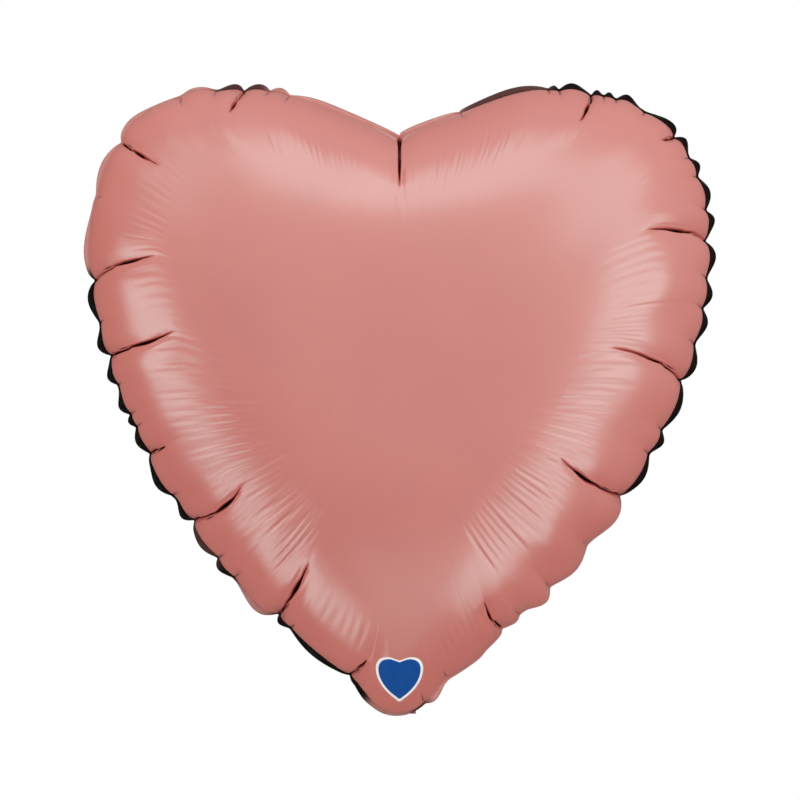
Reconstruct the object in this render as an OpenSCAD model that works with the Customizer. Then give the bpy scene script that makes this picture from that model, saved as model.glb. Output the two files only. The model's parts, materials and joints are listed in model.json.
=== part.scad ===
// Heart-shaped foil balloon, inflated, with a self-sealing valve behind its fill neck.
// Frame: X to the right, Y backwards (the printed front faces -Y), Z up.
// Origin: the bottom of the tip on the seam plane, where the fill neck leaves the seal.
// At rest the neck is folded back behind the tip.

/* [Balloon] */
// Inflated width across the lobes
heart_w = 380; // [360:5:400]
// Inflated height from the tip to the top of the lobes
heart_h = 382; // [365:5:400]
// Depth of the cleft below the top of the lobes
cleft_depth = 29; // [24:1:36]
// Inflated thickness, from the front dome to the back dome
thickness = 170; // [150:5:190]

/* [Film and seal] */
// Thickness that stands for the foil film
film_t = 0.3; // [0.2:0.05:0.4]
// Width of the flat heat-sealed band around the edge
seal_w = 4; // [3:0.5:5]
// Thickness of the sealed band across the seam plane
seal_t = 1.2; // [1:0.1:1.6]

/* [Fill neck] */
// Width of the neck
neck_w = 20; // [18:1:24]
// Length of the neck's back layer, which carries the ribbon hole
neck_len = 44; // [40:1:50]
// Length of the neck's front layer, cut shorter so that the mouth is easy to part
neck_front_len = 32; // [28:1:34]
// Radius of the ribbon hole
ribbon_hole_r = 2; // [1.5:0.25:2.5]
// Angle between the folded neck and the vertical
neck_fold_angle = 76; // [74:1:82]

/* [Valve] */
// Width of the valve films
valve_w = 16; // [12:1:16]
// Length of the valve films inside the balloon
valve_len = 88; // [60:1:100]
// Thickness that stands for the valve film
valve_t = 0.2; // [0.15:0.05:0.25]

/* [Printed mark] */
// Width of the printed heart
mark_w = 25; // [18:1:28]
// Width of the pale border around it
mark_border = 1.6; // [1:0.2:2.4]
// Height of the mark's middle above the tip
mark_z = 28; // [26:1:34]

/* [Hidden] */

foil_colour = "#cc857c";
seal_colour = "#2b1513";
valve_colour = "#dfe3e2";
release_colour = "#b9c8d6";
mark_colour = "#0b4ea2";

// Outline of the flat seam, as control points of the right half from the tip to the cleft.
half_w = heart_w / 2;
widest_z = heart_h * 0.746;
lobe_x = half_w * 0.484;
cleft_z = heart_h - cleft_depth;
tip_end = [27, 18];
TIP = [[0, 0], [12, 0], [19, 8], tip_end];
FLANK = [tip_end, [half_w * 0.547, heart_h * 0.194], [half_w, heart_h * 0.453], [half_w, widest_z]];
LOBE = [[half_w, widest_z], [half_w, heart_h * 0.919], [half_w * 0.805, heart_h], [lobe_x, heart_h]];
SHOULDER = [[lobe_x, heart_h], [half_w * 0.347, heart_h], [half_w * 0.2, cleft_z + 14], [0, cleft_z]];
CURVES = [[TIP, 6], [FLANK, 18], [LOBE, 14], [SHOULDER, 8]];

// The dome rises over this point, and every section through it is a flattened ellipse.
centre = [0, heart_h * 0.615];
dome_h = (thickness - seal_t) / 2;
dome_power = 2.3;
dome_rings = 10;
mean_radius = 170;

// The weld is filled straight across at the tip, which leaves room for the valve.
tip_fill_z = 6;
seal_overlap = 1;
passage_w = valve_w - 2;
passage_t = seal_t / 2;

fold_y = seal_t / 2 + 1;
fold_z = 1;
neck_gap = 0.7;
neck_start = 0.6;
neck_corner_r = 3;
hole_from_end = 6;
lip_len = 12;
valve_gap = 0.3;
valve_start = tip_fill_z + 3;
patch_t = 0.1;
ink_t = 0.1;
border_lift = 0.5;
print_lift = 1.2;
mark_rings = 5;

function bezier(p, t) =
    pow(1 - t, 3) * p[0] + 3 * pow(1 - t, 2) * t * p[1] + 3 * (1 - t) * t * t * p[2] + pow(t, 3) * p[3];

right_half = [for (c = CURVES) for (i = [0 : c[1] - 1]) bezier(c[0], i / c[1])];
outline = concat(
    right_half,
    [[0, cleft_z]],
    [for (i = [len(right_half) - 1 : -1 : 1]) [-right_half[i][0], right_half[i][1]]]
);
n = len(outline);

// The outline moved inwards by a distance, with the tip filled up to a height.
function inset(distance, fill_z) = [
    for (i = [0 : n - 1])
        let (
            along = outline[(i + 1) % n] - outline[(i + n - 1) % n],
            inward = [-along[1], along[0]] / norm(along),
            p = outline[i] + distance * inward
        )
        [p[0], max(p[1], fill_z)]
];

foot = inset(seal_w, tip_fill_z);

// Angle of a point about the centre, from 0 at the tip, through the right side, to 180 at the cleft.
function bearing(p) = (atan2(p[1] - centre[1], p[0]) + 450) % 360;

// Height of the dome over the seam at a share q of the way from the centre to the foot.
function dome(q) = dome_h * sqrt(max(0, 1 - pow(q, dome_power)));

reach_table = concat(
    [for (p = foot) [bearing(p), norm(p - centre)]],
    [[360, norm(foot[0] - centre)]]
);
function dome_at(p) = dome(norm(p - centre) / lookup(bearing(p), reach_table));

// One surface of a domed panel: rings of points from the foot up to the pole.
function dome_points(inset_t) =
    let (
        plan = 1 - inset_t / mean_radius,
        rise = 1 - inset_t / dome_h
    )
    concat(
        [for (k = [0 : dome_rings - 1])
            let (q = cos(90 * k / dome_rings))
            for (p = foot)
                let (at = centre + q * plan * (p - centre))
                [at[0], -seal_t / 2 - rise * dome(q), at[1]]
        ],
        [[0, -seal_t / 2 - rise * dome_h, centre[1]]]
    );

// Triangles over rings of count points, closed by a pole, with the first point's index at start.
function ring_faces(start, rings, count, outward) = concat(
    [for (k = [0 : rings - 2]) for (i = [0 : count - 1])
        let (
            a = start + k * count + i,
            b = start + k * count + (i + 1) % count
        )
        for (f = [[a, b, b + count], [a, b + count, a + count]])
            outward ? f : [f[2], f[1], f[0]]
    ],
    [for (i = [0 : count - 1])
        let (
            a = start + (rings - 1) * count + i,
            b = start + (rings - 1) * count + (i + 1) % count,
            pole = start + rings * count
        )
        outward ? [a, b, pole] : [pole, b, a]
    ]
);

// Triangles of the wall between two rings that start at these indices.
function wall_faces(outer, inner, count) = [
    for (i = [0 : count - 1])
        let (j = (i + 1) % count)
        for (f = [[outer + j, outer + i, inner + i], [outer + j, inner + i, inner + j]])
            f
];

// A domed film whose foot lies on the seal's front face.
module domed_film() {
    skin = dome_points(0);
    lining = dome_points(film_t);
    polyhedron(
        points = concat(skin, lining),
        faces = concat(
            ring_faces(0, dome_rings, n, true),
            ring_faces(len(skin), dome_rings, n, false),
            wall_faces(0, len(skin), n)
        ),
        convexity = 6
    );
}

module front_panel() {
    color(foil_colour)
        domed_film();
}

module back_panel() {
    color(foil_colour)
        mirror([0, 1, 0])
            domed_film();
}

// The band where both panels are welded, with the passage that the release ink keeps open.
module edge_seal() {
    color(seal_colour)
        difference() {
            translate([0, seal_t / 2, 0])
                rotate([90, 0, 0])
                    linear_extrude(height = seal_t)
                        difference() {
                            polygon(outline);
                            polygon(inset(seal_w + seal_overlap, tip_fill_z + seal_overlap / 2));
                        }
            translate([-passage_w / 2, -passage_t / 2, -1])
                cube([passage_w, passage_t, tip_fill_z + seal_overlap + 2]);
        }
}

// A flat valve film inside the balloon, with its near face at face_y.
module valve_film(face_y) {
    translate([-valve_w / 2, face_y, valve_start])
        cube([valve_w, valve_t, valve_len]);
}

module valve_front_film() {
    color(valve_colour, 0.6)
        valve_film(-valve_gap - valve_t);
}

module valve_back_film() {
    color(valve_colour, 0.6)
        valve_film(valve_gap);
}

// Heat-proof ink on the front wall of the passage through the seal.
module valve_release_patch() {
    color(release_colour)
        translate([1 - passage_w / 2, -passage_t / 2, 1])
            cube([passage_w - 2, patch_t, tip_fill_z - 1]);
}

// Puts a child drawn flat, with Y along the neck and Z towards the back dome, at the folded neck.
module on_neck() {
    translate([0, fold_y, fold_z])
        rotate([90 - neck_fold_angle, 0, 0])
            children();
}

// A neck layer with rounded corners at its free end, drawn flat.
module neck_shape(length) {
    translate([-neck_w / 2, neck_start])
        square([neck_w, length - neck_start - neck_corner_r]);
    translate([neck_corner_r - neck_w / 2, length - 2 * neck_corner_r])
        square([neck_w - 2 * neck_corner_r, 2 * neck_corner_r]);
    for (side = [-1, 1])
        translate([side * (neck_w / 2 - neck_corner_r), length - neck_corner_r])
            circle(r = neck_corner_r, $fn = 48);
}

module neck_back_layer() {
    color(foil_colour)
        on_neck()
            translate([0, 0, neck_gap / 2])
                difference() {
                    linear_extrude(height = film_t)
                        neck_shape(neck_len);
                    translate([0, neck_len - hole_from_end, -1])
                        cylinder(h = film_t + 2, r = ribbon_hole_r, $fn = 48);
                }
}

module neck_front_layer() {
    color(foil_colour)
        on_neck()
            translate([0, 0, -neck_gap / 2 - film_t])
                linear_extrude(height = film_t)
                    neck_shape(neck_front_len);
}

// The end of a valve film, welded to the inside of a neck layer, with its lower face at face_z.
module valve_lip(face_z) {
    color(valve_colour, 0.6)
        on_neck()
            translate([-valve_w / 2, neck_start, face_z])
                cube([valve_w, lip_len, valve_t]);
}

module valve_back_lip() {
    valve_lip(neck_gap / 2 - valve_t);
}

module valve_front_lip() {
    valve_lip(-neck_gap / 2);
}

// A heart of printed ink lying on the front dome, lifted off it by lift.
module printed_heart(width, lift) {
    middle = [0, mark_z];
    shape = [for (p = outline) (p - centre) * width / heart_w];
    count = len(shape);
    plan = concat(
        [for (k = [0 : mark_rings - 1]) for (p = shape) middle + p * (1 - k / mark_rings)],
        [middle]
    );
    function lifted(by) = [for (p = plan) [p[0], -seal_t / 2 - dome_at(p) - by, p[1]]];
    polyhedron(
        points = concat(lifted(lift + ink_t), lifted(lift)),
        faces = concat(
            ring_faces(0, mark_rings, count, true),
            ring_faces(len(plan), mark_rings, count, false),
            wall_faces(0, len(plan), count)
        ),
        convexity = 4
    );
}

module mark_border_print() {
    color("white")
        printed_heart(mark_w + 2 * mark_border, border_lift);
}

module mark_print() {
    color(mark_colour)
        printed_heart(mark_w, print_lift);
}

front_panel();
back_panel();
edge_seal();
valve_front_film();
valve_back_film();
valve_release_patch();
neck_back_layer();
neck_front_layer();
valve_back_lip();
valve_front_lip();
mark_border_print();
mark_print();
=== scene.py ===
"""Heart-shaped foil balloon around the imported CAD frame.

Shapes are worked out in millimetres, in the frame's own axes: X to the right, Y backwards, Z up.
A place on the rim is an arc length t, counted from the tip up the right side to the cleft and
down the left side back to the tip. A place on a film is t with a share s of the way to the pole.
"""
import json
import math
from collections import namedtuple

import bpy
import numpy as np
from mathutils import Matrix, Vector
from mathutils.bvhtree import BVHTree
from mathutils.geometry import delaunay_2d_cdt


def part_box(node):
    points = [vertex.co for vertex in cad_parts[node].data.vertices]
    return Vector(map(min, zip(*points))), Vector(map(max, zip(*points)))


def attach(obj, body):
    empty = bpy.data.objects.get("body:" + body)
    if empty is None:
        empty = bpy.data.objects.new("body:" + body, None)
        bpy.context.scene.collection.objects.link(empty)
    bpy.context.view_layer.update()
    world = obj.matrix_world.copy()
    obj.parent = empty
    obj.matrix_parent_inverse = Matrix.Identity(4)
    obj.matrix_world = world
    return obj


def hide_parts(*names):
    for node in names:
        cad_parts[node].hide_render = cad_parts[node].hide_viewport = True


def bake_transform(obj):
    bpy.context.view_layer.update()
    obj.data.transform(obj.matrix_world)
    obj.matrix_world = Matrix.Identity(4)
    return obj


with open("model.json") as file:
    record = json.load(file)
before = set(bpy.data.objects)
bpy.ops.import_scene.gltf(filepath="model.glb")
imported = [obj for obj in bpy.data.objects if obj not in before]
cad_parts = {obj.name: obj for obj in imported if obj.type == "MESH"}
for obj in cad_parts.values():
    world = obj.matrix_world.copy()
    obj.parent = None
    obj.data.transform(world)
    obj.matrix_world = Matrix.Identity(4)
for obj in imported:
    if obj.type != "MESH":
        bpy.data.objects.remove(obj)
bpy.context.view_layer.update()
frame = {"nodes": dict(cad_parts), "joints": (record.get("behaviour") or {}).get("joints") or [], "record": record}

MM = 0.001

# ------------------------------------------------------------------ sizes from the frame
seal_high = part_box("edge_seal")[1]
HALF_W = seal_high.x / MM
HEIGHT = seal_high.z / MM
DOME = -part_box("front_panel")[0].y / MM
CLEFT_Z = HEIGHT - 29
# The film's highest point, in the seam plane's X and Z.
POLE = np.array([0.0, 0.57 * HEIGHT])
FLANGE_W = 4.5

# The camera stands level, straight in front of the heart.
VIEW_DISTANCE = 2.0
VIEW_WIDTH = 0.4848
VIEW_CENTRE = Vector((0.0003, 0, 0.1913))


def camera():
    data = bpy.data.cameras.new("camera")
    data.lens = data.sensor_width * VIEW_DISTANCE / VIEW_WIDTH
    data.clip_end = 50
    obj = bpy.data.objects.new("camera", data)
    obj.location = VIEW_CENTRE - Vector((0, VIEW_DISTANCE, 0))
    obj.rotation_euler = (math.pi / 2, 0, 0)
    bpy.context.scene.collection.objects.link(obj)
    bpy.context.scene.camera = obj


camera()

# ------------------------------------------------------------------ outline
TIP_END = (27, 18)
LOBE_TOP = (HALF_W * 0.484, HEIGHT)
WIDEST = (HALF_W, HEIGHT * 0.746)
OUTLINE = [
    [(0, 0), (12, 0), (19, 8), TIP_END],
    [TIP_END, (HALF_W * 0.547, HEIGHT * 0.194), (HALF_W, HEIGHT * 0.453), WIDEST],
    [WIDEST, (HALF_W, HEIGHT * 0.919), (HALF_W * 0.805, HEIGHT), LOBE_TOP],
    [LOBE_TOP, (HALF_W * 0.347, HEIGHT), (HALF_W * 0.2, CLEFT_Z + 14), (0, CLEFT_Z)],
]
CURVE_STEPS = 1500
RIM_STEPS = 4096
NORMAL_BLUR = 8


def bezier(points, u):
    a, b, c, d = (np.array(p, dtype=float) for p in points)
    u = u[:, None]
    return (1 - u) ** 3 * a + 3 * (1 - u) ** 2 * u * b + 3 * (1 - u) * u * u * c + u ** 3 * d


def smooth_round(table, sigma):
    """Gaussian blur of a closed table, with sigma counted in its steps."""
    reach = int(4 * sigma)
    offsets = np.arange(-reach, reach + 1)
    kernel = np.exp(-0.5 * (offsets / sigma) ** 2)
    kernel /= kernel.sum()
    padded = np.concatenate([table[-reach:], table, table[:reach]])
    if table.ndim == 1:
        return np.convolve(padded, kernel, "valid")
    return np.stack([np.convolve(padded[:, i], kernel, "valid") for i in range(table.shape[1])], 1)


def rim_tables():
    """The outline at equal steps of arc length, its inward normals and half its length."""
    u = np.linspace(0, 1, CURVE_STEPS)[:-1]
    half = np.concatenate([bezier(curve, u) for curve in OUTLINE] + [[(0, CLEFT_Z)]])
    whole = np.concatenate([half, half[-2::-1] * (-1, 1)])
    length = np.concatenate([[0], np.cumsum(np.linalg.norm(np.diff(whole, axis=0), axis=1))])
    steps = np.arange(RIM_STEPS) / RIM_STEPS * length[-1]
    points = np.stack([np.interp(steps, length, whole[:, i]) for i in (0, 1)], 1)
    along = np.roll(points, -1, 0) - np.roll(points, 1, 0)
    along = smooth_round(along, NORMAL_BLUR / length[-1] * RIM_STEPS)
    inward = np.stack([-along[:, 1], along[:, 0]], 1)
    inward /= np.linalg.norm(inward, axis=1)[:, None]
    return points, inward, length[-1] / 2


RIM, INWARD, HALF = rim_tables()
ROUND = 2 * HALF


def at_rim(table, t):
    """Value of a closed table at the arc lengths t."""
    u = np.mod(t, ROUND) / ROUND * len(table)
    i = np.floor(u).astype(int)
    f = u - i
    if table.ndim == 2:
        f = f[..., None]
    return table[i % len(table)] * (1 - f) + table[(i + 1) % len(table)] * f


def place(side, share):
    """Arc length of a place on side 1, right, or -1, left, at its share from tip to cleft."""
    return share * HALF if side > 0 else ROUND - share * HALF


def apart(t, t0):
    """Signed distance along the rim from t0 to t."""
    return np.mod(t - t0 + HALF, ROUND) - HALF


def smoothstep(x):
    x = np.clip(x, 0, 1)
    return x * x * (3 - 2 * x)


# ------------------------------------------------------------------ creases, lobes and wrinkles
# Lean is how far a crease bends towards the cleft, at half its reach and at its end, and open is
# how far its slit gapes. Kink is its sideways jog, and dark the share of its reach that is shut and
# gets painted shade.
Crease = namedtuple(
    "Crease", "side share reach lean_mid lean_end depth open kink dark", defaults=(1, 0.85)
)
CREASES = [
    Crease(1, 0.136, 27, 0, 1, 6, 0.2),
    Crease(1, 0.314, 50, -4, -2, 8, 0.35, 1, 0.65),
    Crease(1, 0.445, 54, 6, 10, 7, 0.12, 1, 0.4),
    Crease(1, 0.589, 42, 8, 14, 8, 0.3),
    Crease(1, 0.703, 12, 1, 3, 4, 0.3),
    Crease(1, 0.801, 25, 0, 1, 6, 0.3),
    Crease(1, 1.000, 36, 0, 0, 9, 0.1, 0),
    Crease(-1, 0.838, 18, -4, -9, 6, 0.4),
    Crease(-1, 0.696, 34, 0, 2, 6, 0.4, 1, 0.5),
    Crease(-1, 0.549, 45, 8, 16, 7, 0.3),
    Crease(-1, 0.471, 50, 1, 8, 8, 0.25),
    Crease(-1, 0.365, 15, 0, 0, 5, 0.15),
    Crease(-1, 0.285, 41, -4, -1, 9, 0.4),
    Crease(-1, 0.159, 42, 2, 2, 9, 0.45),
    Crease(-1, 0.066, 19, -3, -5, 6, 0.3),
]
# Small cusps between the creases, as shares from tip to cleft.
CUSPS = {
    1: [0.03, 0.064, 0.158, 0.199, 0.255, 0.365, 0.392, 0.484, 0.521, 0.551, 0.62, 0.655,
        0.676, 0.743, 0.775, 0.788, 0.834, 0.845, 0.937],
    -1: [0.141, 0.216, 0.241, 0.318, 0.395, 0.409, 0.441, 0.506, 0.633, 0.773, 0.81, 0.864,
         0.885],
}
# How the seam's flange stands along the rim: offset of the weld and its bulge in the middle of a
# lobe, the flange's turn away from the seam plane there, and how dark it is painted, a painted
# reflection of dark surroundings.
Zone = namedtuple("Zone", "side start end offset bulge turn tone")
ZONES = [
    Zone(1, 0.012, 0.034, -2.4, 0.6, 62, 0.9),
    Zone(1, 0.0, 0.012, -2.4, 0.6, 62, 0.35),
    Zone(1, 0.034, 0.068, -2.6, 0.6, 40, 0.0),
    Zone(1, 0.068, 0.105, -2.2, 1.2, 88, 0.2),
    Zone(1, 0.105, 0.136, -3.6, 1.2, 88, 0.2),
    Zone(1, 0.136, 0.17, -4.8, 2.6, 105, 0.2),
    Zone(1, 0.17, 0.313, -3.6, 4.6, 105, 0.2),
    Zone(1, 0.313, 0.80, -3.6, 1.7, 32, 1.0),
    Zone(1, 0.80, 0.842, -3.4, 1.4, 34, 1.0),
    Zone(1, 0.842, 0.937, -2.8, 0.6, 30, 0.85),
    Zone(1, 0.937, 1.0, -2.4, 0.4, 50, 0.0),
    Zone(-1, 0.885, 1.0, -2.8, 0.4, 42, 0.0),
    Zone(-1, 0.862, 0.885, -3.0, 0.8, 40, 0.2),
    Zone(-1, 0.808, 0.862, -3.0, 0.8, 45, 0.9),
    Zone(-1, 0.74, 0.808, -1.6, 1.3, 68, 0.15),
    Zone(-1, 0.696, 0.74, -2.4, 1.0, 45, 0.1),
    Zone(-1, 0.633, 0.696, -4.2, 0.8, 40, 0.1),
    Zone(-1, 0.56, 0.633, -3.2, 1.0, 40, 0.1),
    Zone(-1, 0.55, 0.56, -3.2, 1.0, 25, 1.0),
    Zone(-1, 0.365, 0.55, -4.0, 1.2, 20, 1.0),
    Zone(-1, 0.316, 0.365, -1.4, 1.2, 22, 1.0),
    Zone(-1, 0.285, 0.316, -3.2, 1.2, 26, 1.0),
    Zone(-1, 0.235, 0.285, -1.4, 1.2, 36, 0.9),
    Zone(-1, 0.21, 0.235, -0.4, 1.2, 32, 1.0),
    Zone(-1, 0.165, 0.21, -0.4, 1.2, 32, 0.3),
    Zone(-1, 0.035, 0.165, -3.0, 0.8, 38, 1.0),
    Zone(-1, 0.0, 0.035, -2.6, 0.8, 60, 0.35),
]
# Patches of fine wrinkles: rim shares, depths from the rim, number and depth of the wrinkles, and
# how they slant towards the tip.
Patch = namedtuple("Patch", "side start end near far count depth slant", defaults=(0.05,))
PATCHES = [
    Patch(1, 0.86, 1.0, 14, 60, 22, 0.3),
    Patch(-1, 0.86, 1.0, 14, 60, 20, 0.2),
    Patch(-1, 0.165, 0.31, 12, 88, 18, 0.75, 0.2),
    Patch(-1, 0.31, 0.47, 20, 84, 14, 0.5, 0.25),
    Patch(-1, 0.48, 0.57, 22, 62, 9, 0.16),
    Patch(-1, 0.58, 0.72, 24, 62, 11, 0.14),
    Patch(1, 0.15, 0.31, 26, 84, 18, 0.6, 0.2),
    Patch(1, 0.32, 0.44, 26, 88, 13, 0.52, 0.2),
    Patch(1, 0.45, 0.58, 26, 80, 16, 0.3),
    Patch(1, 0.60, 0.70, 24, 62, 10, 0.05),
    Patch(-1, 0.075, 0.155, 14, 48, 8, 0.13),
    Patch(1, 0.07, 0.13, 10, 34, 7, 0.1),
    Patch(1, 0.72, 0.84, 14, 44, 9, 0.1),
    Patch(-1, 0.74, 0.84, 14, 40, 8, 0.08),
]
# Where the rim is pulled in, at creases and cusps alike. A lobe lies between two of them.
STOPS = np.sort(np.array(
    [place(c.side, c.share) for c in CREASES]
    + [place(side, share) for side in CUSPS for share in CUSPS[side]]
))


LOBE_SEED = 326
ZONE_BLUR = 2.5
NOTCH_BLUR = 0.5


def lobe_tables():
    """Weld offset, flange turn and the flange's painted dark reflection around the rim, with each
    lobe's own bulge. Short lobes bulge less, and near the cleft a lobe is flat-topped."""
    t = np.arange(RIM_STEPS) / RIM_STEPS * ROUND
    offset, bulge, turn, tone = (np.zeros(RIM_STEPS) for _ in range(4))
    for zone in ZONES:
        a, b = sorted((place(zone.side, zone.start), place(zone.side, zone.end)))
        inside = (t >= a) & (t <= b)
        offset[inside] = zone.offset
        bulge[inside] = zone.bulge
        turn[inside] = zone.turn
        tone[inside] = zone.tone
    sigma = ZONE_BLUR / ROUND * RIM_STEPS
    offset, bulge, turn, tone = (smooth_round(v, sigma) for v in (offset, bulge, turn, tone))
    i = np.searchsorted(STOPS, t, "right")
    before = STOPS[i - 1]
    before = np.where(i == 0, STOPS[-1] - ROUND, before)
    after = np.where(i == len(STOPS), STOPS[0] + ROUND, STOPS[i % len(STOPS)])
    skew = np.random.default_rng(LOBE_SEED).uniform(0.5, 1.9, len(STOPS))
    u = ((t - before) / (after - before)) ** skew[i - 1]
    size = np.clip((after - before) / 20, 0.25, 1)
    near_cleft = np.exp(-(apart(t, HALF) / 60) ** 4)
    arch = np.sin(np.pi * u) ** (1.1 - 0.85 * near_cleft)
    arch = arch * np.sqrt(np.clip((after - before) / 14, 0, 1))
    turn = np.degrees(np.arccos(np.cos(np.radians(turn)) * arch))
    weld = offset + bulge * size * arch
    notch = np.zeros(RIM_STEPS)
    for crease in CREASES:
        gap = apart(t, place(crease.side, crease.share))
        if crease.share < 1:
            notch = np.minimum(notch, -0.3 * crease.depth * np.exp(-np.abs(gap) / 1.8))
    weld = smooth_round(weld + notch, NOTCH_BLUR / ROUND * RIM_STEPS)
    return weld, turn, tone


WELD, TURN, PAINTED_DARK = lobe_tables()


WAVE_SEED = 5
WAVE_BLUR = 7
WAVE_HEIGHT = 1.1


def weld_wave():
    """Small wander of the seam in front of and behind its plane."""
    rough = np.random.default_rng(WAVE_SEED).normal(size=RIM_STEPS)
    wave = smooth_round(rough, WAVE_BLUR / ROUND * RIM_STEPS)
    return wave / np.abs(wave).max() * WAVE_HEIGHT


WAVE = weld_wave()

# ------------------------------------------------------------------ plan and dome
ROWS = 84
# Rows from which on a film has half as many columns as before.
THIN_OUT = (56, 72)
# The rows' shares of the way to the pole, close together near the rim, where the film is upright.
SHARES = (np.arange(ROWS) / ROWS) ** 2.1
MEMBRANE_COLUMNS = 256


def plan(t, s):
    """Point of the seam plane under the place t, s. Paths leave the rim at right angles, except
    round the narrow tip, where they would cross."""
    rim = at_rim(RIM, t)
    inward = at_rim(INWARD, t)
    out = POLE - rim
    length = np.linalg.norm(out, axis=-1)[..., None]
    out = out / length
    square = (out * inward).sum(-1)[..., None]
    s = s[..., None]
    turned = (1 - 0.65 * np.exp(-(apart(t, 0) / 28) ** 2))[..., None] * s * (1 - s) ** 3
    return rim + length * s * out + length * (square * inward - out) * turned


def membrane(columns):
    """Sag of an evenly loaded membrane over the heart, 0 at the rim, highest 1, one row per share.
    Conjugate gradients solve it on a net of triangles."""
    t = np.arange(columns) / columns * ROUND
    points = plan(*np.broadcast_arrays(t[None, :], SHARES[:, None])).reshape(-1, 2)
    points = np.concatenate([points, [POLE]])
    col = np.arange(columns)
    nxt = (col + 1) % columns
    faces = []
    for row in range(ROWS - 1):
        a, b = row * columns + col, row * columns + nxt
        faces += [np.stack([a, b, b + columns], 1), np.stack([a, b + columns, a + columns], 1)]
    last = (ROWS - 1) * columns
    faces.append(np.stack([last + col, last + nxt, np.full(columns, len(points) - 1)], 1))
    faces = np.concatenate(faces)
    starts, ends, weights = [], [], []
    load = np.zeros(len(points))
    for k in range(3):
        i, j, opposite = faces[:, k], faces[:, (k + 1) % 3], faces[:, (k + 2) % 3]
        u, v = points[i] - points[opposite], points[j] - points[opposite]
        cross = np.abs(u[:, 0] * v[:, 1] - u[:, 1] * v[:, 0])
        starts.append(i)
        ends.append(j)
        weights.append(0.5 * (u * v).sum(1) / cross)
        load += np.bincount(opposite, cross / 6, len(points))
    starts, ends, weights = (np.concatenate(v) for v in (starts, ends, weights))
    free = np.ones(len(points))
    free[:columns] = 0
    diagonal = np.bincount(starts, weights, len(points)) + np.bincount(ends, weights, len(points))

    def stiffness(x):
        flow = weights * (x[starts] - x[ends])
        pull = np.bincount(starts, flow, len(points)) - np.bincount(ends, flow, len(points))
        return free * pull

    x = np.zeros(len(points))
    residual = free * load
    ready = residual / diagonal
    step = ready.copy()
    energy = residual @ ready
    start_energy = energy
    while energy > 1e-14 * start_energy:
        push = stiffness(step)
        amount = energy / (step @ push)
        x += amount * step
        residual -= amount * push
        ready = free * residual / diagonal
        new_energy = residual @ ready
        step = ready + new_energy / energy * step
        energy = new_energy
    return (x / x.max())[:-1].reshape(ROWS, columns)


SAG = membrane(MEMBRANE_COLUMNS)
FLATNESS = 2.7


def dome(sag):
    """Height of the film over the seam, flatter on top than an ellipsoid and upright at the rim."""
    return DOME * np.sqrt(np.clip(1 - (1 - np.clip(sag, 0, 1)) ** (FLATNESS / 2), 0, None))


# ------------------------------------------------------------------ the creased film
def column_places(count):
    """Arc lengths of a film's columns, five times closer at a crease and twice at a cusp."""
    t = np.linspace(0, ROUND, 24001)
    density = np.ones_like(t)
    for crease in CREASES:
        density += 3 * np.exp(-(apart(t, place(crease.side, crease.share)) / 3.5) ** 2)
    for stop in STOPS:
        density += np.exp(-(apart(t, stop) / 1.5) ** 2)
    total = np.concatenate([[0], np.cumsum((density[1:] + density[:-1]) / 2)])
    return np.interp(np.arange(count) / count * total[-1], total, t)


def sag_at(t):
    """Sag at the arc lengths t, given row by row, by a cubic through the membrane's columns."""
    count = SAG.shape[1]
    u = np.mod(t, ROUND) / ROUND * count
    i = np.floor(u).astype(int)
    f = u - i
    p = [np.take_along_axis(SAG, (i + k) % count, 1) for k in (-1, 0, 1, 2)]
    first = p[2] - p[0]
    second = 2 * p[0] - 5 * p[1] + 4 * p[2] - p[3]
    third = 3 * (p[1] - p[2]) + p[3] - p[0]
    return p[1] + 0.5 * f * (first + f * (second + f * third))


def lean(crease, depth):
    """How far a crease has bent towards the cleft at a depth from the rim."""
    x = np.clip(depth / crease.reach, 0, 1)
    slope = 4 * crease.lean_mid - crease.lean_end
    curve = 2 * crease.lean_end - 4 * crease.lean_mid
    return slope * x + curve * x * x


def window(x):
    """A smooth rise and fall over 0 to 1."""
    return np.where((x > 0) & (x < 1), np.sin(np.pi * np.clip(x, 0, 1)) ** 2, 0)


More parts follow.
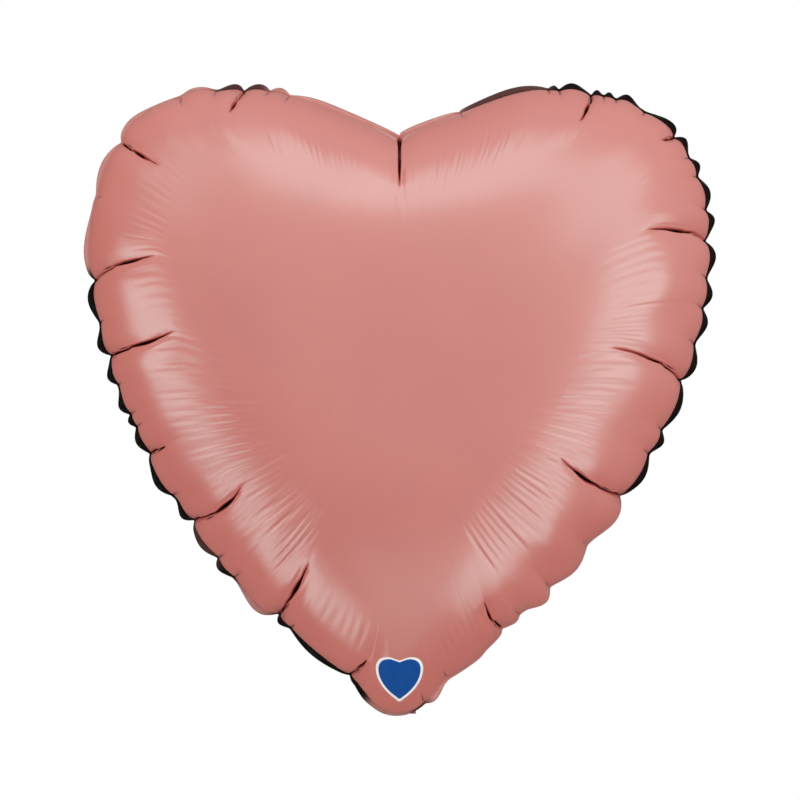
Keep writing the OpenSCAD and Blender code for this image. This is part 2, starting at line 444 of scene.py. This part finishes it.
def crease_relief(crease, tau, depth, height, rng):
    """Dent of one crease, and the painted shade of its shut slit and second line, 0 to 1. From the rim
    inwards it is a thin line, a kink with a second line beside it, an open slit, then soft streaks."""
    x = depth / crease.reach
    fall = np.clip(1 - x ** 4, 0, 1)
    amount = smoothstep(0.12 + height / 14) * fall
    way = rng.choice((-1, 1))
    kink = rng.uniform(0.26, 0.36)
    wander = way * crease.kink * rng.uniform(0.7, 1.2) * smoothstep((x - kink) / 0.07)
    wander += 0.35 * crease.kink * np.sin(depth / rng.uniform(4, 6) + rng.uniform(0, 6)) * window(x)
    middle = tau - wander
    slit = 0.4 + 1.4 * crease.open * window((x - kink - 0.02) / 0.5)
    slit = (slit + 0.2 * window((x + 0.1) / kink)) * (0.45 + 0.55 * crease.kink)
    folded = amount * np.exp(-np.abs(middle / slit) ** 2.5)
    dent = crease.depth * (0.8 * folded + 0.2 * amount * np.exp(-np.abs(middle) / 2.6))
    dent += 0.9 * smoothstep(height / 10) * fall * np.exp(-(middle / 6) ** 2)
    twin = crease.kink * np.exp(-((tau - way * 1.5) / 0.4) ** 2)
    twin = twin * window((x - kink + 0.2) / 0.3) * amount
    dent += 0.16 * crease.depth * twin
    for _ in range(2):
        side = rng.choice((-1, 1))
        offset = side * rng.uniform(1.6, 2.6)
        start = rng.uniform(0.5, 0.7)
        span = window((x - start) / rng.uniform(0.3, 0.5))
        streak = np.exp(-((middle - offset * (1 - 0.5 * span)) / 0.5) ** 2)
        dent += 0.06 * crease.depth * span * streak
    for side in (-1, 1):
        lip = np.exp(-((middle - side * (slit + 0.9)) / 0.6) ** 2)
        dent -= (0.32 + 0.1 * side * way) * lip * fall * smoothstep(height / 10)
    ridge = np.exp(-((np.abs(tau) - 3.2) / 1.3) ** 2) * window((x - 0.4) / 0.65)
    tail = np.exp(-(middle / 1.4) ** 2) * window((x - 0.75) / 0.5)
    # Painted shade: the shut slit and the second line get dark colour, fading past the crease's dark share.
    slit_shade = np.exp(-np.abs(middle / slit) ** 2.5) * fall * smoothstep(0.5 + height / 10)
    slit_shade *= 1 - 0.85 * smoothstep((x - crease.dark) / 0.14)
    return dent - 0.25 * ridge + 0.03 * crease.depth * tail, np.maximum(slit_shade, 0.8 * twin)


def patch_relief(patch, share_of_wrinkles, t, shrink, depth, rng):
    """Dents of the fine wrinkles of one patch, each a shallow groove with a ridge beside it."""
    relief = np.zeros_like(depth)
    count = int(round(patch.count * share_of_wrinkles))
    run = patch.far - patch.near
    for k in range(count):
        share = patch.start + (patch.end - patch.start) * (k + rng.uniform(0.4, 0.6)) / count
        middle = (patch.near + patch.far) / 2 + rng.uniform(-0.08, 0.08) * run
        length = run * rng.uniform(0.8, 1.05)
        slant = rng.uniform(-0.04, 0.04) - patch.side * patch.slant
        wide = rng.uniform(0.9, 1.4)
        tau = apart(t, place(patch.side, share)) * shrink - slant * (depth - middle)
        span = window((depth - middle) / length + 0.5)
        dent = np.exp(-(tau / wide) ** 2) - 0.45 * np.exp(-((tau - 1.9 * wide) / wide) ** 2)
        relief += patch.depth * rng.uniform(0.7, 1.2) * span * dent
    return relief


def film_relief(t, s, depth, height, seed, share_of_wrinkles):
    """Dents of all creases, cusps, wrinkles and slow waves below the smooth dome, in millimetres,
    and the painted shade in the creases and cusps, 0 to 1."""
    rng = np.random.default_rng(seed)
    shrink = 1 - s
    relief, fold_shade = np.zeros_like(depth), np.zeros_like(depth)
    for crease in CREASES:
        tau = apart(t, place(crease.side, crease.share)) * shrink
        # folded here is the crease's painted shade.
        dent, folded = crease_relief(crease, tau, depth, height, rng)
        relief += dent
        fold_shade = np.maximum(fold_shade, folded)
    for stop in STOPS:
        reach, deep = rng.uniform(6, 11), rng.uniform(1.2, 2.2)
        tau = apart(t, stop) * shrink
        fall = np.clip(1 - (depth / reach) ** 2, 0, 1) ** 1.3 * (0.3 + 0.7 * smoothstep(height / 6))
        relief += deep * fall * (0.5 * np.exp(-(tau / 0.5) ** 2) + 0.5 * np.exp(-np.abs(tau) / 2.2))
        # Painted shade at the cusps.
        fold_shade = np.maximum(fold_shade, 0.8 * fall ** 2 * np.exp(-(tau / 0.4) ** 2))
    for patch in PATCHES:
        relief += patch_relief(patch, share_of_wrinkles, t, shrink, depth, rng)
    for k in range(3, 34):
        wave = np.cos(k * t / ROUND * 2 * np.pi + rng.uniform(0, 2 * np.pi))
        relief += rng.normal() * 0.1 * wave * window(depth / 55 + 0.02)
    return relief, fold_shade


# How far along the rim a crease takes the film with it, how soon the seam's shape fades inwards,
# how far each film's edge stands off the seam, and the depth that the flow has at the pole.
LEAN_WIDTH = 28
WELD_FADE = 12
WAVE_FADE = 10
EDGE_GAP = 0.1
POLE_DEPTH = 150


def film_points(side, t, seed, share_of_wrinkles):
    """Points of the front film (side -1) or the back film (side 1), by row and column, each
    followed by its flow: its place round the rim, as on a circle, and its depth from the rim.
    Last comes the painted shade of its creases and cusps there."""
    s = np.broadcast_to(SHARES[:, None], (ROWS, len(t))).copy()
    t = np.broadcast_to(t, s.shape)
    depth = np.linalg.norm(plan(t, s) - plan(t, s * 0), axis=-1)
    leaning = t.copy()
    straight = smoothstep((0.75 - s) / 0.4) / np.maximum(1 - s, 0.5)
    for crease in CREASES:
        gap = apart(t, place(crease.side, crease.share))
        leaning += crease.side * lean(crease, depth) * straight * np.exp(-(gap / LEAN_WIDTH) ** 2)
    flat = plan(leaning, s)
    height = dome(sag_at(leaning))
    points = np.stack([flat[..., 0], side * height, flat[..., 1]], -1)
    across = np.roll(points, -1, 1) - np.roll(points, 1, 1)
    inwards = np.gradient(points, axis=0)
    normals = side * np.cross(inwards, across)
    normals /= np.linalg.norm(normals, axis=-1)[..., None]
    outward = -at_rim(INWARD, t)
    weld = at_rim(WELD, t) * np.exp(-depth / WELD_FADE)
    relief, fold_shade = film_relief(t, s, depth, height, seed, share_of_wrinkles)
    points -= normals * relief[..., None]
    points[..., 0] += outward[..., 0] * weld
    points[..., 2] += outward[..., 1] * weld
    points[..., 1] += at_rim(WAVE, t) * np.exp(-depth / WAVE_FADE) + side * EDGE_GAP
    turn = t / ROUND * 2 * np.pi
    radius = ROUND / (2 * np.pi)
    flow = np.stack([np.cos(turn) * radius, np.sin(turn) * radius, depth, fold_shade], -1)
    return np.concatenate([points, flow], -1)


def mesh_object(name, points, faces, material):
    """A smooth mesh object from points in millimetres."""
    mesh = bpy.data.meshes.new(name)
    mesh.from_pydata((np.asarray(points) * MM).tolist(), [], faces)
    mesh.polygons.foreach_set("use_smooth", [True] * len(mesh.polygons))
    mesh.update()
    mesh.materials.append(material)
    obj = bpy.data.objects.new(name, mesh)
    bpy.context.scene.collection.objects.link(obj)
    return obj


def film_mesh(side, columns, seed, share_of_wrinkles):
    """Points and faces of a film, with half as many columns from each row of THIN_OUT on."""
    grid = film_points(side, column_places(columns), seed, share_of_wrinkles)
    rings, faces, start, step = [], [], 0, 1
    for row in range(ROWS):
        thin = row in THIN_OUT
        step *= 2 if thin else 1
        ring = grid[row, ::step]
        count = len(ring)
        if row:
            above = start - len(rings[-1])
            for i in range(count):
                j = (i + 1) % count
                a, b = start + i, start + j
                if thin:
                    c, d, e = above + 2 * i, above + 2 * i + 1, above + 2 * j
                    faces += [(c, d, a), (d, b, a), (d, e, b)]
                else:
                    faces.append((above + i, above + j, b, a))
        rings.append(ring)
        start += count
    last = start - len(rings[-1])
    faces += [(last + i, last + (i + 1) % len(rings[-1]), start) for i in range(len(rings[-1]))]
    if side > 0:
        faces = [face[::-1] for face in faces]
    pole = (POLE[0], side * DOME, POLE[1], 0, 0, POLE_DEPTH, 0)
    whole = np.concatenate(rings + [[pole]])
    return whole[:, :3], whole[:, 3:], faces


# ------------------------------------------------------------------ materials
def linear(code):
    """Linear colour of a hexadecimal screen colour."""
    shares = [int(code[i:i + 2], 16) / 255 for i in (0, 2, 4)]
    return [c / 12.92 if c <= 0.04045 else ((c + 0.055) / 1.055) ** 2.4 for c in shares] + [1]


class Shader:
    """A material with a Principled shader, and short calls to add nodes to it."""

    def __init__(self, name, **sockets):
        self.material = bpy.data.materials.new(name)
        self.material.use_nodes = True
        self.tree = self.material.node_tree
        self.principled = self.tree.nodes["Principled BSDF"]
        for socket, value in sockets.items():
            self.principled.inputs[socket.replace("_", " ")].default_value = value
        self.place = self.node("ShaderNodeTexCoord").outputs["Object"]

    def node(self, kind, **values):
        node = self.tree.nodes.new(kind)
        for key, value in values.items():
            setattr(node, key, value)
        return node

    def link(self, output, target, socket):
        self.tree.links.new(output, target.inputs[socket])

    def noise(self, scale, detail=2.0, roughness=0.5):
        node = self.node("ShaderNodeTexNoise")
        node.inputs["Scale"].default_value = scale
        node.inputs["Detail"].default_value = detail
        node.inputs["Roughness"].default_value = roughness
        self.link(self.place, node, "Vector")
        return node.outputs["Fac"]

    def remap(self, value, low, high, start=0.3, end=0.7):
        node = self.node("ShaderNodeMapRange")
        node.inputs["From Min"].default_value = start
        node.inputs["From Max"].default_value = end
        node.inputs["To Min"].default_value = low
        node.inputs["To Max"].default_value = high
        self.link(value, node, "Value")
        return node.outputs["Result"]

    def blend(self, share, first, second):
        node = self.node("ShaderNodeMix", data_type="RGBA")
        self.link(share, node, 0)
        for socket, colour in ((6, first), (7, second)):
            if isinstance(colour, list):
                node.inputs[socket].default_value = colour
            else:
                self.tree.links.new(colour, node.inputs[socket])
        return node.outputs[2]

    def bump(self, value, distance, strength=1.0, before=None):
        node = self.node("ShaderNodeBump")
        node.inputs["Distance"].default_value = distance
        node.inputs["Strength"].default_value = strength
        self.link(value, node, "Height")
        if before:
            self.link(before, node, "Normal")
        return node.outputs["Normal"]

    def use(self, output, socket):
        self.link(output, self.principled, socket)


def foil_material(name, light, dark):
    """Satin printed film: mottled ink over metal, with a fine grain. Fine streaks run in from the
    rim, where the film is gathered. In creases and cusps the colour is painted near-black and
    metallic, a painted shade where the film folds together."""
    shader = Shader(name, Roughness=0.283, IOR=2.7)
    cloud = shader.blend(shader.remap(shader.noise(16, 3), 0, 1), linear(light), linear(dark))
    grain = shader.remap(shader.noise(620, 3, 0.7), 0, 0.16)
    printed = shader.blend(grain, cloud, linear("CA6558"))
    # Painted shade: creases and cusps are coloured near-black and made metallic.
    fold_shade = shader.node("ShaderNodeAttribute", attribute_name="fold_shade").outputs["Fac"]
    painted_shade = shader.remap(fold_shade, 0, 1, 0.2, 0.75)
    shader.use(shader.blend(painted_shade, printed, linear("4A100C")), "Base Color")
    shader.use(painted_shade, "Metallic")
    # Below about 0.275 the denoised picture shows contour lines where the roughness varies.
    shader.use(shader.remap(shader.noise(24, 2), 0.276, 0.29), "Roughness")
    soft = shader.bump(shader.noise(60, 1), 0.0001, 0.08)
    flow = shader.node("ShaderNodeAttribute", attribute_name="flow").outputs["Vector"]
    stretched = shader.node("ShaderNodeVectorMath", operation="MULTIPLY")
    stretched.inputs[1].default_value = (1, 1, 0.05)
    shader.link(flow, stretched, 0)
    streaks = shader.noise(420, 3, 0.6)
    shader.link(stretched.outputs[0], streaks.node, "Vector")
    depth = shader.node("ShaderNodeSeparateXYZ")
    shader.link(flow, depth, 0)
    gathered = shader.remap(depth.outputs["Z"], 1, 0, 0.04, 0.085)
    height = shader.node("ShaderNodeMath", operation="MULTIPLY")
    shader.link(streaks, height, 0)
    shader.link(gathered, height, 1)
    streaked = shader.bump(height.outputs[0], 0.00012, 0.6, soft)
    shader.use(shader.bump(shader.noise(1400, 2, 0.6), 0.00002, 0.5, streaked), "Normal")
    return shader.material


def seal_material():
    """Heat-sealed film, glossy: painted near-black where it turns away, a painted reflection of dark
    surroundings, and printed rose where that painted darkness is low.
    """
    shader = Shader("seal_film", Roughness=0.3, Specular_IOR_Level=0.08)
    tone = shader.node("ShaderNodeAttribute", attribute_name="tone").outputs["Fac"]
    rose = shader.blend(shader.noise(120, 2), linear("D89A92"), linear("C97F76"))
    # Painted reflection: the near-black of the flange where it turns away.
    dark_reflection = shader.blend(shader.noise(150, 3), linear("0A0202"), linear("180605"))
    shader.use(shader.blend(tone, rose, dark_reflection), "Base Color")
    shader.use(shader.bump(shader.noise(300, 3), 0.0002, 0.4), "Normal")
    return shader.material


def ink_material(name, colour, shade):
    """Opaque print: a thin satin layer with a slight grain of its own."""
    shader = Shader(name, Roughness=0.38, Specular_IOR_Level=0.2)
    cloud = shader.noise(240, 4, 0.6)
    shader.use(shader.blend(shader.remap(cloud, 0, 1), linear(colour), linear(shade)), "Base Color")
    shader.use(shader.remap(shader.noise(700, 2), 0.32, 0.46), "Roughness")
    shader.use(shader.bump(shader.noise(1500, 2), 0.00002, 0.4), "Normal")
    return shader.material


def valve_material():
    """Clear soft polyethylene, slightly milky and creased."""
    shader = Shader("valve_polyethylene", Roughness=0.24, IOR=1.5, Transmission_Weight=0.75,
                    Base_Color=linear("E6EBEA"))
    shader.use(shader.remap(shader.noise(120, 3), 0.16, 0.34), "Roughness")
    shader.use(shader.bump(shader.noise(180, 4, 0.6), 0.0002, 0.5), "Normal")
    return shader.material


FOIL = foil_material("rose_foil", "DE7769", "D87064")
SEAL = seal_material()
WHITE_INK = ink_material("white_ink", "FBF9F9", "F0EDEE")
BLUE_INK = ink_material("blue_ink", "004E9E", "004893")
RELEASE_INK = ink_material("release_ink", "C3CFDA", "B4C2CF")
VALVE = valve_material()

# ------------------------------------------------------------------ the two films
FRONT_COLUMNS = 1408
BACK_COLUMNS = 1120


def film(name, node, side, columns, seed, share_of_wrinkles):
    """A domed film with its flow stored on its points; gives its points and faces too."""
    points, flow, faces = film_mesh(side, columns, seed, share_of_wrinkles)
    obj = mesh_object(name, points, faces, FOIL)
    layer = obj.data.attributes.new("flow", "FLOAT_VECTOR", "POINT")
    layer.data.foreach_set("vector", (flow[:, :3] * MM).ravel())
    # The painted shade of the creases and cusps, on the points.
    layer = obj.data.attributes.new("fold_shade", "FLOAT", "POINT")
    layer.data.foreach_set("value", flow[:, 3])
    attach(obj, "envelope")
    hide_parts(node)
    return points, faces


front_points, front_faces = film("foil_front", "front_panel", -1, FRONT_COLUMNS, 11, 1.0)
film("foil_back", "back_panel", 1, BACK_COLUMNS, 23, 0.7)


# ------------------------------------------------------------------ the sealed flange
# Shares of the flange's width of its rows, the first of them under the films, half its thickness,
# the share of its width over which it turns, and the height of its fine ripple.
ACROSS = np.concatenate([[-0.25], np.linspace(0, 1, 9)])
FLANGE_HALF_T = 0.12
CURL = 0.45
MOST_TURN = 92
PATH_STEPS = 40
RIPPLE_SEED = 31
RIPPLE_BLUR = 0.9
RIPPLE_HEIGHT = 0.13


def summed(rates):
    """Running sum of the rates of growth at PATH_STEPS equal steps from 0 to 1."""
    return np.concatenate([0 * rates[:1], np.cumsum((rates[1:] + rates[:-1]) / 2, 0)]) / PATH_STEPS


def at_step(path, share):
    """Value of a running sum at a share from 0 to 1."""
    k = share * PATH_STEPS
    low = int(min(k, PATH_STEPS - 1))
    return path[low] + (k - low) * (path[low + 1] - path[low])


def flange():
    """The welded band: turned back at the cusps, standing out in the lobes between them."""
    t = column_places(FRONT_COLUMNS)
    turn = np.radians(np.clip(at_rim(TURN, t), 0, MOST_TURN))
    rng = np.random.default_rng(RIPPLE_SEED)
    ripple = smooth_round(rng.normal(size=RIM_STEPS), RIPPLE_BLUR / ROUND * RIM_STEPS)
    ripple = at_rim(ripple / ripple.std(), t)
    outline = at_rim(RIM, t)
    outward = -at_rim(INWARD, t)
    weld = at_rim(WELD, t)
    angle = turn[None, :] * smoothstep(np.linspace(0, 1, PATH_STEPS + 1)[:, None] / CURL)
    out_path, back_path = summed(np.cos(angle)), summed(np.sin(angle))
    grid = []
    for side in (-1, 1):
        for v in ACROSS[::-side]:
            share = np.clip(v, 0, 1)
            slope = turn * smoothstep(share / CURL)
            out = (at_step(out_path, share) + min(v, 0)) * FLANGE_W
            out = out - side * FLANGE_HALF_T * np.sin(slope)
            back = at_step(back_path, share) * FLANGE_W + side * FLANGE_HALF_T * np.cos(slope)
            back = back + RIPPLE_HEIGHT * ripple * max(v, 0)
            flat = outline + outward * (weld + out)[:, None]
            grid.append(np.stack([flat[:, 0], at_rim(WAVE, t) + back, flat[:, 1]], -1))
    grid = np.array(grid)
    rows, count = grid.shape[:2]
    faces = []
    for row in range(rows):
        under = (row + 1) % rows
        for i in range(count):
            j = (i + 1) % count
            faces.append((row * count + i, under * count + i, under * count + j, row * count + j))
    band = mesh_object("seam_flange", grid.reshape(-1, 3), faces, SEAL)
    # Painted dark reflection along the rim, zone by zone.
    tone = band.data.attributes.new("tone", "FLOAT", "POINT")
    # The band's outermost fifth darkens towards its cut edge.
    edge = 0.6 * smoothstep((np.concatenate([ACROSS, ACROSS[::-1]]) - 0.8) / 0.2)
    tone.data.foreach_set("value", np.maximum(at_rim(PAINTED_DARK, t)[None, :], edge[:, None]).ravel())
    return band


seam = flange()
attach(seam, "envelope")
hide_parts("edge_seal")

# ------------------------------------------------------------------ the printed mark
front_tree = BVHTree.FromPolygons((front_points * MM).tolist(), front_faces)


def on_film(x, z, lift):
    """The point of the front film in front of x, z, raised by lift, all in millimetres."""
    spot, normal, _, _ = front_tree.ray_cast(Vector((x * MM, -0.3, z * MM)), Vector((0, 1, 0)))
    spot = spot + normal * (lift * MM)
    return [c / MM for c in spot]


PRINT_STEPS = 160
PRINT_RINGS = 22


def printed_heart(name, node, lift, material):
    """A heart of ink that lies on the front film, sized by its CAD node. Its first two rings have
    one outline: the first touches the film, so that the lifted ink has an edge."""
    low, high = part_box(node)
    middle = np.array([(low.x + high.x) / 2, (low.z + high.z) / 2]) / MM
    scale = (high.x - low.x) / MM / (2 * HALF_W)
    shape = at_rim(RIM, np.arange(PRINT_STEPS) / PRINT_STEPS * ROUND)
    shape = (shape - (0, HEIGHT / 2)) * scale
    points, faces = [], []
    for k in range(PRINT_RINGS):
        for x, z in middle + shape * (1 - max(k - 1, 0) / (PRINT_RINGS - 1)):
            points.append(on_film(x, z, 0 if k == 0 else lift))
    points.append(on_film(middle[0], middle[1], lift))
    count = len(shape)
    for a in range(0, (PRINT_RINGS - 1) * count, count):
        for i in range(count):
            j = (i + 1) % count
            faces.append((a + i, a + j, a + count + j, a + count + i))
    last = (PRINT_RINGS - 1) * count
    faces += [(last + i, last + (i + 1) % count, last + count) for i in range(count)]
    return mesh_object(name, points, faces, material)


for name, node, lift, material, slot in (
    ("printed_border", "mark_border_print", 0.08, WHITE_INK, "white_ink"),
    ("printed_mark", "mark_print", 0.16, BLUE_INK, "blue_ink"),
):
    print_piece = printed_heart(name, node, lift, material)
    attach(print_piece, "envelope")
    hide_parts(node)


# ------------------------------------------------------------------ the fill neck
HINGE = Vector(frame["joints"][0]["pos_m"])
MOUNTS = {mount["name"]: mount for mount in frame["record"]["mounts"]}
NECK_WAY = Vector(MOUNTS["fill_mouth"]["axis"])
NECK_UP = Vector((0, -NECK_WAY.z, NECK_WAY.y))
HOLE = MOUNTS["ribbon_hole"]
HOLE_AT = (Vector(HOLE["pos_m"]) - HINGE).dot(NECK_WAY) / MM
HOLE_R = HOLE["dims"]["r_mm"]


def neck_size(node):
    """Width and length of a neck layer, measured along the neck from the hinge."""
    low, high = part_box(node)
    return (high.x - low.x) / MM, (high.y - HINGE.y) / MM / NECK_WAY.y


def on_neck(x, y, z):
    """A point of the neck, with x across it, y along it and z towards the back film."""
    spot = HINGE + Vector((x, 0, 0)) * MM + NECK_WAY * (y * MM) + NECK_UP * (z * MM)
    return [c / MM for c in spot]


CRUMPLE_SEED = 3
CRUMPLE_HEIGHT = 0.5


def crumple(x, y):
    """Soft random folds of the neck's strips, the same in all, and none at the root."""
    rng = np.random.default_rng(CRUMPLE_SEED)
    z = 0.0
    for _ in range(7):
        along, over = rng.uniform(0.05, 0.4), rng.uniform(-0.45, 0.45)
        z += rng.uniform(0.3, 1) * math.sin(along * y + over * x + rng.uniform(0, 6))
    return CRUMPLE_HEIGHT * z / 3 * float(smoothstep(y / 14))


def thicken(piece, thickness):
    """Gives a sheet its thickness, half of it to each side."""
    thick = piece.modifiers.new("film", "SOLIDIFY")
    thick.thickness = thickness * MM
    thick.offset = 0
    return piece


def strip(name, width, start, end, lift, material, hole=False, corner=3.0):
    """A loose strip of film along the neck, with rounded corners and perhaps a ribbon hole."""
    half = width / 2
    pitch = 1.0
    climb = np.arange(start, end - corner - pitch / 2, pitch)
    edge = [(half, y) for y in climb]
    for side in (1, -1):
        for k in range(9):
            angle = math.pi / 2 * (k / 8 if side > 0 else 1 - k / 8)
            x = side * (half - corner + corner * math.cos(angle))
            edge.append((x, end - corner + corner * math.sin(angle)))
    edge += [(-half, y) for y in climb[::-1]]
    turns = np.arange(28) / 28 * 2 * math.pi
    ring = [(HOLE_R * math.cos(a), HOLE_AT + HOLE_R * math.sin(a)) for a in turns]
    points = edge + (ring if hole else [])
    loops = [(i, (i + 1) % len(edge)) for i in range(len(edge))]
    if hole:
        loops += [(len(edge) + i, len(edge) + (i + 1) % len(ring)) for i in range(len(ring))]
    for y in np.arange(start + pitch / 2, end, pitch):
        for x in np.arange(-half + pitch / 2, half, pitch):
            over_x, over_y = abs(x) - half + corner, y - end + corner
            if min(over_x, over_y) > 0 and math.hypot(over_x, over_y) > corner - pitch / 2:
                continue
            if hole and math.hypot(x, y - HOLE_AT) < HOLE_R + pitch / 2:
                continue
            points.append((x, y))
    flat, _, faces, _, _, _ = delaunay_2d_cdt([Vector(p) for p in points], loops, [], 0, 1e-5)
    kept = []
    for face in faces:
        middle = sum((flat[i] for i in face), Vector((0, 0))) / len(face)
        if not (hole and (middle - Vector((0, HOLE_AT))).length < HOLE_R * 0.98):
            kept.append(tuple(face))
    spots = [on_neck(p.x, p.y, lift + crumple(p.x, p.y)) for p in flat]
    return thicken(mesh_object(name, spots, kept, material), 0.12)


back_width, back_length = neck_size("neck_back_layer")
front_width, front_length = neck_size("neck_front_layer")
# Each layer's distance from the neck's middle, and the valve lips' width and length.
LAYER = 0.45
LIP_W = back_width - 4
LIP_LEN = 12
# The neck bends over this length, under the flange. The loose layers start where it ends.
FOLD_LEN = 4.0
neck_back = strip("neck_back_sheet", back_width, -1.0, back_length, LAYER, FOIL, hole=True)
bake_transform(neck_back)
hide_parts("neck_back_layer")

neck_front = strip("neck_front_sheet", front_width, FOLD_LEN, front_length, -LAYER, FOIL)
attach(neck_front, "neck_lip")
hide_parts("neck_front_layer")

for name, lift, body, node in (
    ("valve_mouth_back", LAYER - 0.2, "neck", "valve_back_lip"),
    ("valve_mouth_front", 0.2 - LAYER, "neck_lip", "valve_front_lip"),
):
    lip = strip(name, LIP_W, FOLD_LEN + 0.4, LIP_LEN, lift, VALVE, corner=1.0)
    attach(lip, body)
    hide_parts(node)


# ------------------------------------------------------------------ the inner valve
VALVE_SEED = 41


def valve_strip(name, node, side):
    """A valve film inside the balloon: a long soft strip that waves more towards its free end."""
    low, high = (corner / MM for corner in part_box(node))
    middle = (low.y + high.y) / 2
    columns, rows = 17, 90
    phase = np.random.default_rng(VALVE_SEED).uniform(0, 6, 3)
    points = []
    for row in range(rows + 1):
        v = row / rows
        z = low.z + (high.z - low.z) * v
        for column in range(columns):
            u = column / (columns - 1) * 2 - 1
            x = u * high.x * (1 + 0.02 * math.sin(9 * v + phase[0]))
            puff = 0.08 + 0.35 * math.sin(math.pi * min(1, v * 1.15)) * (1 - u * u)
            wave = 0.12 * math.sin(21 * v + 2 * u + phase[1])
            wave += 0.08 * math.sin(47 * v - 3 * u + phase[2])
            points.append((x, middle + side * (puff + (wave + 0.2) * v), z))
    faces = []
    for row in range(rows):
        for column in range(columns - 1):
            a = row * columns + column
            faces.append((a, a + 1, a + columns + 1, a + columns))
    return thicken(mesh_object(name, points, faces, VALVE), 0.08)


for name, node, side, body in (
    ("valve_front_strip", "valve_front_film", -1, "envelope"),
    ("valve_back_strip", "valve_back_film", 1, "valve_flap"),
):
    valve = valve_strip(name, node, side)
    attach(valve, body)
    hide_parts(node)

patch_node = frame["nodes"]["valve_release_patch"]
patch_node.data.materials.clear()
patch_node.data.materials.append(RELEASE_INK)


# ------------------------------------------------------------------ studio
LIGHT_SIZE = 0.9
LIGHT_COLOUR = (0.62, 1, 1)


def area_light(name, direction, distance, power):
    """A soft, cool square light that gives the film its gloss and isn't seen itself."""
    data = bpy.data.lights.new(name, "AREA")
    data.shape = "SQUARE"
    data.size = LIGHT_SIZE
    data.energy = power
    data.color = LIGHT_COLOUR
    obj = bpy.data.objects.new(name, data)
    direction = Vector(direction).normalized()
    obj.location = VIEW_CENTRE + direction * distance
    obj.rotation_euler = direction.to_track_quat("Z", "Y").to_euler()
    obj.visible_camera = False
    obj.visible_diffuse = False
    bpy.context.scene.collection.objects.link(obj)


# Eight soft lights round the camera's line, seen only as reflections: direction round it from
# the right, angle off it, and power. Those at the upper left and straight below are dim.
for around, tilt, power in (
    (0, 56, 3.1), (45, 52, 2.0), (90, 58, 2.4), (135, 64, 1.0),
    (190, 70, 3.4), (230, 71, 3.2), (270, 52, 0.9), (315, 60, 3.3),
):
    turn, off = math.radians(around), math.radians(tilt)
    way = (math.sin(off) * math.cos(turn), -math.cos(off), math.sin(off) * math.sin(turn))
    area_light(f"ring_{around}", way, 1.6, power)
area_light("behind", (0, 1, 0.1), 1.8, 3)


def studio_world():
    """White to the camera and even for soft light. In reflections it is bright above, to the
    right and towards the camera, and dim on the other side."""
    world = bpy.data.worlds.new("studio")
    world.use_nodes = True
    tree = world.node_tree
    tree.nodes.clear()
    out = tree.nodes.new("ShaderNodeOutputWorld")
    path = tree.nodes.new("ShaderNodeLightPath")
    plain, mirrored, seen = (tree.nodes.new("ShaderNodeBackground") for _ in range(3))
    for background in (plain, mirrored, seen):
        background.inputs["Color"].default_value = (1, 1, 1, 1)
    plain.inputs["Strength"].default_value = 1.05
    way = tree.nodes.new("ShaderNodeTexCoord")
    height = tree.nodes.new("ShaderNodeVectorMath")
    height.operation = "DOT_PRODUCT"
    height.inputs[1].default_value = (0.45, -0.45, 0.9)
    rise = tree.nodes.new("ShaderNodeMapRange")
    rise.inputs["From Min"].default_value = -0.5
    rise.inputs["From Max"].default_value = 0.85
    rise.inputs["To Min"].default_value = 0.12
    rise.inputs["To Max"].default_value = 0.56
    tree.links.new(way.outputs["Generated"], height.inputs[0])
    tree.links.new(height.outputs["Value"], rise.inputs["Value"])
    tree.links.new(rise.outputs["Result"], mirrored.inputs["Strength"])
    seen.inputs["Strength"].default_value = 1.0
    gloss, final = (tree.nodes.new("ShaderNodeMixShader") for _ in range(2))
    tree.links.new(path.outputs["Is Glossy Ray"], gloss.inputs[0])
    tree.links.new(plain.outputs[0], gloss.inputs[1])
    tree.links.new(mirrored.outputs[0], gloss.inputs[2])
    tree.links.new(path.outputs["Is Camera Ray"], final.inputs[0])
    tree.links.new(gloss.outputs[0], final.inputs[1])
    tree.links.new(seen.outputs[0], final.inputs[2])
    tree.links.new(final.outputs[0], out.inputs[0])
    bpy.context.scene.world = world


def floor():
    """A pale floor under the floating balloon, below the camera's view."""
    half, front, back, level = 1.1, -1.1, 0.45, -0.13
    mesh = bpy.data.meshes.new("floor")
    corners = ((-half, front), (half, front), (half, back), (-half, back))
    mesh.from_pydata([(x, y, level) for x, y in corners], [], [(0, 1, 2, 3)])
    shader = Shader("floor", Roughness=0.9, Base_Color=(0.86, 0.86, 0.86, 1))
    shader.use(shader.remap(shader.noise(60, 3), 0.85, 0.95), "Roughness")
    mesh.materials.append(shader.material)
    obj = bpy.data.objects.new("floor", mesh)
    obj.visible_glossy = False
    bpy.context.scene.collection.objects.link(obj)


studio_world()
floor()
bpy.context.scene.view_settings.view_transform = "Standard"

bpy.context.view_layer.update()
